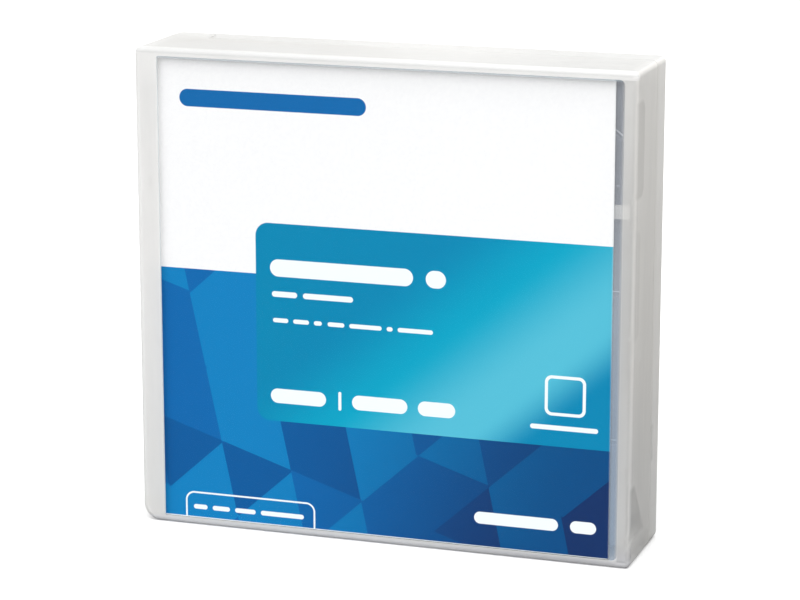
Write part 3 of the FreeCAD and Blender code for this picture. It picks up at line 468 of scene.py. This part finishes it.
def board():
    s = Shader("memory board")
    weave = s.noise(2.5, 2.0, 0.5, s.at(1.0, 3.0, 1.0))
    loops = s.math("PINGPONG", s.y, 0.8)
    track = s.ramp(loops, 0.25, 0.32, 0.0, 1.0)
    color = s.mix(track, (0.38, 0.23, 0.07), s.mix(s.ramp(weave, 0.3, 0.7), (0.008, 0.070, 0.025), (0.014, 0.105, 0.038)))
    return s.surface(s.principled(color, s.blend(weave, 0.3, 0.42), normal=s.bump(track, 0.3, 0.05)))


paint("memory_chip", board())


def plain_label():
    """Blank ruled label: a colour band at one end and ruled lines."""
    s = Shader("blank label")
    paper = s.noise(2.2, 3.0, 0.6)
    white = s.mix(s.ramp(paper, 0.3, 0.7), (0.80, 0.80, 0.785), (0.86, 0.86, 0.85))
    lines = s.ramp(s.math("PINGPONG", s.add(s.y, 0.4), 2.1), 0.10, 0.16, 1.0, 0.0)
    inside = s.mul(s.ramp(s.z, 24.0, 24.1), s.ramp(s.z, 86.0, 86.1, 1.0, 0.0))
    color = s.mix(s.mul(s.mul(lines, inside), 0.6), white, (0.20, 0.24, 0.30))
    band = s.ramp(s.z, 20.0, 20.1, 1.0, 0.0)
    color = s.mix(band, color, (0.010, 0.21, 0.45))
    return s.surface(s.principled(color, s.blend(paper, 0.42, 0.55), normal=s.bump(paper, 0.08, 0.04)))


paint("cartridge_label", plain_label())

for o in nodes.values():
    for f in o.data.polygons:
        f.use_smooth = True
    if hasattr(o.data, "set_sharp_from_angle"):
        o.data.set_sharp_from_angle(angle=math.radians(28))



# ------------------------------------------------------------------ the two coil springs
def coil(name, node, radius, thick, pitch, length, start, across, up, along, steps, sides=10):
    """Wire coil from start, turning from across towards up and rising along."""
    start, across, up, along = Vector(start), Vector(across), Vector(up), Vector(along)
    count = int(round(length / pitch * steps))
    verts, faces = [], []
    for i in range(count + 1):
        a = 2 * math.pi * i / steps
        out = across * math.cos(a) + up * math.sin(a)
        turn = (up * math.cos(a) - across * math.sin(a)) * radius + along * (pitch / (2 * math.pi))
        side_dir = turn.normalized().cross(out)
        middle = start + out * radius + along * (pitch * i / steps)
        for k in range(sides):
            b = 2 * math.pi * k / sides
            verts.append((middle + (out * math.cos(b) + side_dir * math.sin(b)) * thick) * MM)
    for i in range(count):
        for k in range(sides):
            j = (k + 1) % sides
            faces.append((i * sides + k, i * sides + j, (i + 1) * sides + j, (i + 1) * sides + k))
    faces.append(tuple(reversed(range(sides))))
    faces.append(tuple(count * sides + k for k in range(sides)))
    mesh = bpy.data.meshes.new(name)
    mesh.from_pydata([tuple(v) for v in verts], [], faces)
    mesh.validate()
    for f in mesh.polygons:
        f.use_smooth = True
    mesh.set_sharp_from_angle(angle=math.radians(50))
    mesh.materials.append(wire)
    o = bpy.data.objects.new(name, mesh)
    bpy.context.collection.objects.link(o)
    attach(o, "tray")
    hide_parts(node)
    return o


door_coil = coil("door_spring_coil", "door_spring", 1.5, 0.215, 2.4, 27.6, (4.9, 3.2, 105.15),
                 (0, 0, -1), (0, 1, 0), (1, 0, 0), 20)
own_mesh(door_coil)
brake_coil = coil("brake_spring_coil", "brake_spring", 8.2, 0.345, 2.4, 9.6, (4.0, 1.75, 56.55),
                  (1, 0, 0), (0, 0, 1), (0, -1, 0), 40)
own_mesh(brake_coil)

# ------------------------------------------------------------------ stage, light, camera
bpy.ops.mesh.primitive_plane_add(size=6.0, location=(0, 0, 0))
floor = bpy.context.object
floor.name = "floor"
s = Shader("pale floor")
pale_floor = s.mix(s.ramp(s.noise(0.004, 2.0, 0.5), 0.3, 0.7), (0.93, 0.93, 0.93), (0.95, 0.95, 0.95))
seen = s.nt.nodes.new("ShaderNodeLightPath").outputs["Is Camera Ray"]
floor.data.materials.append(s.surface(s.principled(s.mix(seen, (0.20, 0.20, 0.20), pale_floor), 0.75, level=0.2)))

scene = bpy.context.scene
scene.view_settings.view_transform = "Standard"
world = bpy.data.worlds.new("studio")
scene.world = world
world.use_nodes = True
bg = world.node_tree.nodes["Background"]
bg.inputs[1].default_value = 1.0
sky = world.node_tree.nodes.new("ShaderNodeTexCoord")
height = world.node_tree.nodes.new("ShaderNodeSeparateXYZ")
level = world.node_tree.nodes.new("ShaderNodeMapRange")
for k, v in enumerate((0.0, 1.0, 0.27, 1.12), 1):
    level.inputs[k].default_value = v
grey = world.node_tree.nodes.new("ShaderNodeCombineColor")
world.node_tree.links.new(sky.outputs["Generated"], height.inputs[0])
world.node_tree.links.new(height.outputs[2], level.inputs[0])
for k in range(3):
    world.node_tree.links.new(level.outputs[0], grey.inputs[k])
world.node_tree.links.new(grey.outputs[0], bg.inputs[0])


def softbox(name, towards, strength, spread):
    """Wide, even light from one direction."""
    data = bpy.data.lights.new(name, "SUN")
    data.energy = strength
    data.angle = math.radians(spread)
    o = bpy.data.objects.new(name, data)
    bpy.context.collection.objects.link(o)
    o.location = Vector(towards) * -2.0
    o.rotation_mode = "QUATERNION"
    o.rotation_quaternion = Vector(towards).to_track_quat("-Z", "Y")
    return o


softbox("overhead", (0.10, 0.71, -0.69), 2.65, 80.0)
side_data = bpy.data.lights.new("side", "AREA")
side_data.size = 0.10
side_data.energy = 0.022
side_data.spread = math.radians(50)
side = bpy.data.objects.new("side", side_data)
bpy.context.collection.objects.link(side)
side.location = (0.15, 0.0, 0.24)
side.rotation_mode = "QUATERNION"
side.rotation_quaternion = (Vector((0.058, 0.0, 0.10)) - side.location).to_track_quat("-Z", "Y")


cam_data = bpy.data.cameras.new("camera")
cam = bpy.data.objects.new("camera", cam_data)
bpy.context.collection.objects.link(cam)
cam_data.sensor_fit = "HORIZONTAL"
cam_data.sensor_width = 36.0
cam_data.lens = 131.33
cam_data.clip_start, cam_data.clip_end = 0.01, 50.0
RIGHT = Vector((0.948728, 0.316092, 0.000199))
UP = Vector((-0.073594, 0.220276, 0.972657))
AHEAD = Vector((-0.307406, 0.922802, -0.232245))
cam.matrix_world = Matrix((
    (RIGHT.x, UP.x, -AHEAD.x, 0.20510),
    (RIGHT.y, UP.y, -AHEAD.y, -0.61421),
    (RIGHT.z, UP.z, -AHEAD.z, 0.20891),
    (0, 0, 0, 1),
))
scene.camera = cam
